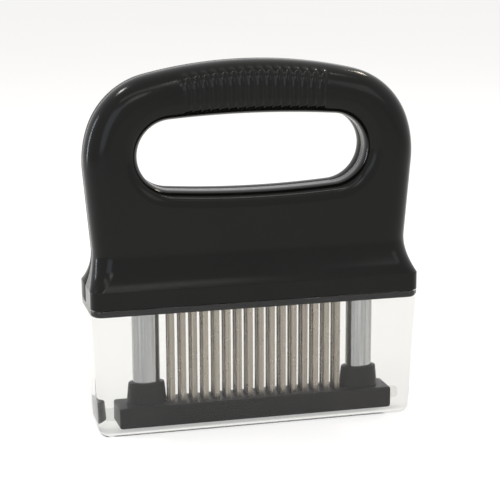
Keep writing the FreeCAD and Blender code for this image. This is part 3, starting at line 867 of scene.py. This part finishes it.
    def build(self) -> None:
        """Builds and dresses both shells."""
        for name, side in (("handle_front_shell", -1), ("handle_rear_shell", 1)):
            piece = show(self.shell(side), name + "_skin")
            thick = piece.modifiers.new("wall", "SOLIDIFY")
            thick.thickness = self.wall * MM
            thick.offset = -1.0
            settle(piece)
            dress(piece, self.finish, Body.HANDLE, [name], sharp=50.0)


@dataclass
class ClearCover:
    """The clear box that slips over the blades."""

    width: float = 150.0
    depth: float = 35.0
    top: float = 59.2
    taper: float = 2.7
    taper_deep: float = 1.9
    wall: float = 2.0
    floor: float = 2.2
    corner: float = 5.0
    edge_round: float = 4.0
    inner_round: float = 1.6
    seat: float = 55.3
    lip: float = 0.25
    lip_share: float = 0.3
    seat_step: float = 0.2
    finish: Finish = CLEAR_PLASTIC

    def half_at(self, z: float) -> tuple[float, float]:
        """Half the outer length and depth at one level."""
        lost = 1.0 - min(z / self.top, 1.0)
        return self.width / 2 - self.taper * lost, self.depth / 2 - self.taper_deep * lost

    def ring(self, z: float, inset: float) -> list[Point]:
        """The outline at one level, drawn in by an inset."""
        half_x, half_y = self.half_at(z)
        return rounded_ring(half_x - inset, half_y - inset, max(self.corner - inset, 0.6), z, 12)

    def build(self) -> None:
        """Builds and dresses the cover."""
        draft = Draft()
        steps = 10
        levels = quarter(self.edge_round, steps)
        levels += [(self.top * share, 0.0) for share in (0.2, 0.5, 0.8)]
        eased = self.lip * self.lip_share
        levels += [(self.top - self.lip, 0.0), (self.top - eased, eased), (self.top, self.lip)]
        levels += [(self.top, self.wall - self.lip), (self.top - self.lip, self.wall), (self.seat, self.wall)]
        inner_top = self.seat - self.seat_step
        levels += [(inner_top, self.wall), (self.top * 0.5, self.wall)]
        levels.append((self.floor + 2 * self.inner_round, self.wall))
        for near, far in quarter(self.inner_round, steps):
            levels.append((self.floor + far, self.wall + near))
        rows = [draft.row(self.ring(z, inset)) for z, inset in levels]
        draft.skin(rows)
        draft.cap(rows[0])
        draft.cap(rows[-1])
        dress(show(draft, "clear_cover_moulding"), self.finish, Body.COVER, ["clear_cover"], sharp=60.0)


@dataclass
class BladePack:
    """Three rows of flat pointed blades."""

    count: int = 16
    pitch: float = 5.12
    row_pitch: float = 5.5
    width: float = 2.4
    thick: float = 1.0
    tip_z: float = 5.6
    point: float = 4.5
    point_share: float = 0.45
    edge: float = 0.12
    head_half: float = 1.9
    head_seat: float = 60.4
    top: float = 62.8
    bevel: float = 0.12
    finish: Finish = BLADE_STEEL

    def places(self) -> list[float]:
        """X places of the blades."""
        first = -(self.count - 1) * self.pitch / 2
        return [first + index * self.pitch for index in range(self.count)]

    def add_blade(self, draft: Draft, x: float, y: float) -> None:
        """Adds one blade: headed shank, pointed foot and both faces ground thin towards the point.

        Args:
            draft: The draft that grows.
            x: Place along the row.
            y: Place of the row.
        """
        half = self.width / 2
        shoulder = self.tip_z + self.point
        cheek = self.tip_z + self.point * self.point_share
        profile = [
            (-half, cheek), (0.0, self.tip_z), (half, cheek), (half, shoulder), (half, self.head_seat),
            (self.head_half, self.head_seat), (self.head_half, self.top), (-self.head_half, self.top),
            (-self.head_half, self.head_seat), (-half, self.head_seat), (-half, shoulder),
        ]
        sides = []
        for side in (-1, 1):
            ring = []
            for px, pz in profile:
                share = min(max((pz - self.tip_z) / self.point, 0.0), 1.0)
                deep = self.edge / 2 + (self.thick - self.edge) / 2 * share
                ring.append((x + px, y + side * deep, pz))
            sides.append(draft.row(ring))
        draft.skin(sides)
        for ring in sides:
            draft.faces.append([ring[0], ring[1], ring[2], ring[3], ring[10]])
            draft.faces.append([ring[3], ring[4], ring[9], ring[10]])
            draft.faces.append([ring[4], ring[5], ring[6], ring[7], ring[8], ring[9]])

    def build(self) -> None:
        """Builds and dresses the three rows."""
        for name, row in (("front", -1), ("middle", 0), ("rear", 1)):
            draft = Draft()
            for x in self.places():
                self.add_blade(draft, x, row * self.row_pitch)
            piece = show(draft, "blades_" + name)
            worn = piece.modifiers.new("edges", "BEVEL")
            worn.width = self.bevel * MM
            worn.segments = 2
            worn.limit_method = "ANGLE"
            worn.angle_limit = math.radians(40.0)
            worn.use_clamp_overlap = True
            settle(piece)
            dress(piece, self.finish, Body.HANDLE, ["blade_row_" + name], sharp=40.0)


@dataclass
class PressureCarriage:
    """The pressure plate with its post sockets, chrome posts and clear end buffers."""

    length: float = 126.2
    depth: float = 26.0
    bottom: float = 3.7
    top: float = 13.2
    corner: float = 1.6
    edge: float = 1.0
    slot_room: float = 0.3
    overcut: float = 1.0
    corner_least: float = 0.3
    post_x: float = 49.5
    post_radius: float = 6.15
    post_top: float = 68.0
    post_seat: float = 8.2
    pocket_radius: float = 4.6
    pocket_floor: float = 54.0
    boss_base: float = 9.0
    boss_top: float = 8.15
    boss_height: float = 9.8
    boss_edge: float = 0.7
    boss_foot: tuple[tuple[float, float], ...] = ((-0.6, -0.4), (-0.25, 0.02), (0.12, 0.25), (-0.02, 0.8))
    bore_room: float = 0.12
    bore_bevel: float = 0.3
    bore_depth: float = 2.0
    post_bevel: float = 0.5
    screw_room: float = 4.0
    screw_depth: float = 2.6
    buffer_radius: float = 5.7
    buffer_low: float = 6.5
    buffer_high: float = 10.7
    buffer_bevel: float = 0.7
    bevel_share: float = 0.3
    buffer_gap: float = 0.02
    blades: BladePack = field(default_factory=BladePack)
    plate_finish: Finish = BLACK_SATIN
    post_finish: Finish = POST_CHROME
    buffer_finish: Finish = CLEAR_PLASTIC

    def plate(self) -> bpy.types.Object:
        """The plate with rounded edges, cut for the blades and the post screws."""
        draft = Draft()
        rows = []
        steps = 5
        for foot, way in ((self.bottom, 1), (self.top, -1)):
            levels = []
            for rise, inset in quarter(self.edge, steps):
                z = foot + way * rise
                corner = max(self.corner - inset, self.corner_least)
                levels.append(rounded_ring(self.length / 2 - inset, self.depth / 2 - inset, corner, z, 6))
            rows.extend(levels if way > 0 else reversed(levels))
        numbers = [draft.row(ring) for ring in rows]
        draft.skin(numbers)
        draft.cap(numbers[0])
        draft.cap(numbers[-1])
        piece = show(draft, "pressure_plate_bar")
        tool = Draft()
        half_x = self.blades.width / 2 + self.slot_room
        half_y = self.blades.thick / 2 + self.slot_room
        for row in (-1, 0, 1):
            y = row * self.blades.row_pitch
            for x in self.blades.places():
                low = (x - half_x, y - half_y, self.bottom - self.overcut)
                add_block(tool, low, (x + half_x, y + half_y, self.top + self.overcut))
        carve(piece, tool)
        for side in (-1, 1):
            ends = (self.bottom - self.overcut, self.bottom + self.screw_depth)
            carve(piece, turned([(self.screw_room, z) for z in ends], side * self.post_x))
        return piece

    def boss(self, side: int) -> Draft:
        """The tapered socket that holds one post."""
        high = self.top + self.boss_height
        profile = [(self.boss_base + out, self.top + up) for out, up in self.boss_foot]
        slope = (self.boss_base - self.boss_top) / self.boss_height
        for share in (0.5, 0.8):
            rise = share * self.boss_height
            profile.append((self.boss_base - slope * rise, self.top + rise))
        for near, far in quarter(self.boss_edge, 6):
            profile.append((self.boss_top - near, high - far))
        bore = self.post_radius + self.bore_room
        profile += [(bore + self.bore_bevel, high), (bore, high - self.bore_bevel)]
        profile.append((bore, high - self.bore_depth))
        return turned(profile, side * self.post_x, steps=96)

    def post(self, side: int) -> Draft:
        """One polished post with its chamfered, hollow head."""
        profile = [(self.post_radius, self.post_seat), (self.post_radius, self.pocket_floor)]
        profile.append((self.post_radius, self.post_top - self.post_bevel))
        profile.append((self.post_radius - self.post_bevel, self.post_top))
        profile += [(self.pocket_radius, self.post_top), (self.pocket_radius, self.pocket_floor)]
        return turned(profile, side * self.post_x, steps=128)

    def buffer(self, side: int) -> Draft:
        """One clear half-round buffer at an end of the plate."""
        draft = Draft()
        rows = []
        bevel = self.buffer_bevel
        steps = 24
        eased = bevel * self.bevel_share
        levels = [(self.buffer_low, bevel), (self.buffer_low + eased, eased), (self.buffer_low + bevel, 0.0)]
        levels += [(self.buffer_high - bevel, 0.0), (self.buffer_high - eased, eased)]
        levels.append((self.buffer_high, bevel))
        for z, inset in levels:
            radius = self.buffer_radius - inset
            ring = []
            for index in range(steps + 1):
                angle = -math.pi / 2 + math.pi * index / steps
                x = self.length / 2 + self.buffer_gap + radius * math.cos(angle)
                ring.append((side * x, radius * math.sin(angle), z))
            rows.append(draft.row(ring))
        draft.skin(rows)
        draft.cap(rows[0])
        draft.cap(rows[-1])
        return draft

    def build(self) -> None:
        """Builds and dresses the carriage."""
        dress(self.plate(), self.plate_finish, Body.CARRIAGE, ["pressure_plate"])
        for name, side in (("left", -1), ("right", 1)):
            dress(show(self.boss(side), "post_socket_" + name), self.plate_finish, Body.CARRIAGE, [])
            post = show(self.post(side), "chrome_post_" + name)
            dress(post, self.post_finish, Body.CARRIAGE, ["guide_post_" + name])
            lug = show(self.buffer(side), "clear_buffer_" + name)
            dress(lug, self.buffer_finish, Body.CARRIAGE, ["end_buffer_" + name], sharp=50.0)


@dataclass
class Screws:
    """Round-headed screws with a cross recess."""

    finish: Finish = SCREW_STEEL
    recess_depth: float = 0.45
    recess_width: float = 0.2
    recess_length: float = 0.62
    base_place: tuple[float, float] = (63.0, 8.0)
    base_seat: float = 57.8
    base_sizes: tuple[float, float, float, float] = (1.5, 14.0, 2.9, 1.8)
    socket_x: float = 49.5
    socket_seat: float = 6.3
    socket_sizes: tuple[float, float, float, float] = (2.0, 16.0, 3.8, 2.6)
    neck_share: float = 0.35

    def screw(self, name: str, x: float, y: float, head_z: float,
              sizes: tuple[float, float, float, float]) -> bpy.types.Object:
        """One screw.

        Args:
            name: The piece's name.
            x: Place along X.
            y: Place along Y.
            head_z: Level where the head bears, with the shank pointing up from it.
            sizes: Shank radius, shank length, head radius and head height.

        Returns:
            The piece.
        """
        radius, length, head, tall = sizes
        profile = [(radius * 0.6, head_z + length), (radius, head_z + length - radius)]
        profile += [(radius, head_z), (head, head_z)]
        for index in range(7):
            turn = math.pi / 2 * index / 7
            drop = self.neck_share + (1 - self.neck_share) * math.sin(turn)
            profile.append((head * math.cos(turn) ** 0.5, head_z - tall * drop))
        profile.append((head * 0.2, head_z - tall))
        piece = show(turned(profile, x, y, steps=40), name)
        tool = Draft()
        face = head_z - tall
        low = face - 1.0
        high = face + tall * self.recess_depth
        long = head * self.recess_length
        thin = head * self.recess_width / 2
        add_block(tool, (x - long, y - thin, low), (x + long, y + thin, high))
        carve(piece, tool)
        tool = Draft()
        add_block(tool, (x - thin, y - long, low), (x + thin, y + long, high))
        carve(piece, tool)
        return piece

    def build(self) -> None:
        """Builds and dresses the screws that can be seen from below."""
        base = []
        for side in (-1, 1):
            for front in (-1, 1):
                label = "base_screw_%d" % (len(base) + 1)
                x, y = side * self.base_place[0], front * self.base_place[1]
                base.append(self.screw(label, x, y, self.base_seat, self.base_sizes))
        join(base)
        dress(base[0], self.finish, Body.HANDLE, ["base_plate_screws"])
        for name, side in (("left", -1), ("right", 1)):
            label = "socket_screw_" + name
            piece = self.screw(label, side * self.socket_x, 0.0, self.socket_seat, self.socket_sizes)
            dress(piece, self.finish, Body.CARRIAGE, ["post_screw_" + name])


def join(pieces: list[bpy.types.Object]) -> None:
    """Joins pieces into the first of them."""
    work = bmesh.new()
    for piece in pieces:
        work.from_mesh(piece.data)
    work.to_mesh(pieces[0].data)
    work.free()
    for piece in pieces[1:]:
        bpy.data.objects.remove(piece)


@dataclass
class PlainNodes:
    """The nodes that keep their own mesh, with the finish of each."""

    finishes: dict[str, Finish] = field(default_factory=lambda: {
        "base_plate": BLACK_SATIN,
        "blade_clamp_bar": SCREW_STEEL,
        "clamp_bar_screws": SCREW_STEEL,
        "post_bush_left": BUSH_PLASTIC,
        "post_bush_right": BUSH_PLASTIC,
        "post_collar_left": BUSH_PLASTIC,
        "post_collar_right": BUSH_PLASTIC,
        "return_spring_left": SPRING_STEEL,
        "return_spring_right": SPRING_STEEL,
    })

    def build(self) -> None:
        """Gives each of these nodes its finish."""
        for name, finish in self.finishes.items():
            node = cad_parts[name]
            for slot in node.material_slots:
                slot.material = finish.material()
            LOG.info("%s: kept, in %s", name, finish.name)


@dataclass
class Lamp:
    """One soft rectangular lamp."""

    name: str
    place: Point
    aim: Point
    size: tuple[float, float]
    power: float
    colour: Colour = (1.0, 1.0, 1.0)

    def build(self) -> None:
        """Hangs the lamp; its place and size are in metres."""
        data = bpy.data.lights.new(self.name, "AREA")
        data.shape = "RECTANGLE"
        data.size, data.size_y = self.size
        data.energy = self.power
        data.color = self.colour
        lamp = bpy.data.objects.new(self.name, data)
        bpy.context.scene.collection.objects.link(lamp)
        lamp.location = self.place
        way = Vector(self.aim) - Vector(self.place)
        lamp.rotation_euler = way.to_track_quat("-Z", "Y").to_euler()


@dataclass
class Studio:
    """A pale floor, a plain surround and soft lamps."""

    floor_half: float = 3.0
    floor_tone: float = 0.84
    floor_lift: float = 0.56
    floor_rough: float = 0.9
    floor_mottle: float = 0.02
    floor_gap: float = 0.00005
    mottle_scale: float = 3.0
    surround: Colour = (0.415, 0.405, 0.39)
    lamps: tuple[Lamp, ...] = (
        Lamp("key_strip", (0.26, -0.42, 1.08), (0.0, 0.0, 0.1), (0.7, 0.05), 1.2, (1.0, 0.98, 0.94)),
        Lamp("camera_box", (-0.24, -0.87, 0.74), (0.0, 0.0, 0.1), (0.35, 0.2), 0.6),
        Lamp("left_back", (-0.53, 0.36, 0.99), (0.0, 0.0, 0.1), (0.14, 0.12), 1.8, (1.0, 0.98, 0.95)),
        Lamp("right_back", (0.63, 0.47, 0.87), (0.0, 0.0, 0.1), (0.14, 0.12), 1.3, (1.0, 0.90, 0.76)),
        Lamp("left_strip", (-0.99, 0.42, 0.3), (0.0, 0.0, 0.1), (0.06, 0.6), 2.2, (0.84, 0.91, 1.0)),
        Lamp("left_panel", (-0.66, -0.86, 0.42), (0.0, 0.0, 0.08), (0.45, 0.7), 1.4, (0.80, 0.89, 1.0)),
        Lamp("front_panel", (-0.2, -0.62, 0.98), (0.0, 0.0, 0.08), (1.0, 0.16), 0.8, (1.0, 0.99, 0.95)),
        Lamp("right_front", (0.59, -0.80, 0.56), (0.0, 0.0, 0.1), (0.4, 0.4), 0.5),
    )

    def floor(self) -> None:
        """A wide floor whose clear stretch reads as white while shadows stay on it."""
        draft = Draft()
        reach = self.floor_half / MM
        corners = [(-reach, -reach, 0.0), (reach, -reach, 0.0), (reach, reach, 0.0), (-reach, reach, 0.0)]
        draft.cap(draft.row(corners))
        piece = show(draft, "studio_floor")
        piece.location.z = -self.floor_gap
        sheet = NodeSheet("studio floor")
        shader = sheet.shader
        shader.inputs["Roughness"].default_value = self.floor_rough
        shader.inputs["Specular IOR Level"].default_value = 0.0
        tone = self.floor_tone
        pale = tone + self.floor_mottle
        sheet.tint(sheet.noise(self.mottle_scale), (tone, tone, tone), (pale, pale, pale))
        lift = sheet.node("ShaderNodeMath", operation="MULTIPLY")
        lift.inputs[1].default_value = self.floor_lift
        sheet.join(any_ray(sheet.tree, *BACKGROUND_RAYS), lift.inputs[0])
        glow = sheet.node("ShaderNodeEmission")
        sheet.join(lift.outputs["Value"], glow.inputs["Strength"])
        both = sheet.node("ShaderNodeAddShader")
        sheet.join(shader.outputs["BSDF"], both.inputs[0])
        sheet.join(glow.outputs["Emission"], both.inputs[1])
        sheet.join(both.outputs["Shader"], sheet.output.inputs["Surface"])
        piece.data.materials.append(sheet.material)

    def surroundings(self) -> None:
        """A white backdrop for the eye and for clear and bright surfaces, and a dimmer fill for the rest."""
        world = bpy.data.worlds.new("studio surround")
        bpy.context.scene.world = world
        world.use_nodes = True
        tree = world.node_tree
        shade = tree.nodes["Background"]
        tone = tree.nodes.new("ShaderNodeMix")
        tone.data_type = "RGBA"
        dim, white = [socket for socket in tone.inputs if socket.type == "RGBA"]
        dim.default_value = (*self.surround, 1.0)
        white.default_value = (1.0, 1.0, 1.0, 1.0)
        result = next(socket for socket in tone.outputs if socket.type == "RGBA")
        tree.links.new(any_ray(tree, *BACKGROUND_RAYS), tone.inputs["Factor"])
        tree.links.new(result, shade.inputs["Color"])

    def build(self) -> None:
        """Sets up the studio."""
        self.floor()
        self.surroundings()
        for lamp in self.lamps:
            lamp.build()
        bpy.context.scene.view_settings.view_transform = "Standard"


@dataclass
class PhotoCamera:
    """The camera at the photograph's angle."""

    yaw: float = 0.248
    pitch: float = 0.224
    roll: float = -0.005
    distance: float = 0.724862
    target: Point = (0.0, 0.0, 0.078641)
    sensor: float = 36.0
    lens: float = 115.78

    def build(self) -> None:
        """Places the camera and makes it the scene's own."""
        back = Vector((
            -math.sin(self.yaw) * math.cos(self.pitch),
            -math.cos(self.yaw) * math.cos(self.pitch),
            math.sin(self.pitch),
        ))
        level = Vector((math.cos(self.yaw), -math.sin(self.yaw), 0.0))
        upright = back.cross(level)
        right = level * math.cos(self.roll) + upright * math.sin(self.roll)
        up = upright * math.cos(self.roll) - level * math.sin(self.roll)
        data = bpy.data.cameras.new("photo_camera")
        data.sensor_width = self.sensor
        data.lens = self.lens
        data.clip_start = 0.01
        camera = bpy.data.objects.new("photo_camera", data)
        bpy.context.scene.collection.objects.link(camera)
        turn = Matrix((right, up, back)).transposed().to_4x4()
        camera.matrix_world = Matrix.Translation(Vector(self.target) + back * self.distance) @ turn
        bpy.context.scene.camera = camera


def main() -> None:
    """Builds the tool, sub-assembly by sub-assembly, then the studio and the camera."""
    logging.basicConfig(level=logging.INFO, format="%(message)s")
    for part in (HandleShells(), ClearCover(), BladePack(), PressureCarriage(), Screws(), PlainNodes()):
        part.build()
    Studio().build()
    PhotoCamera().build()


if __name__ == "__main__":
    main()
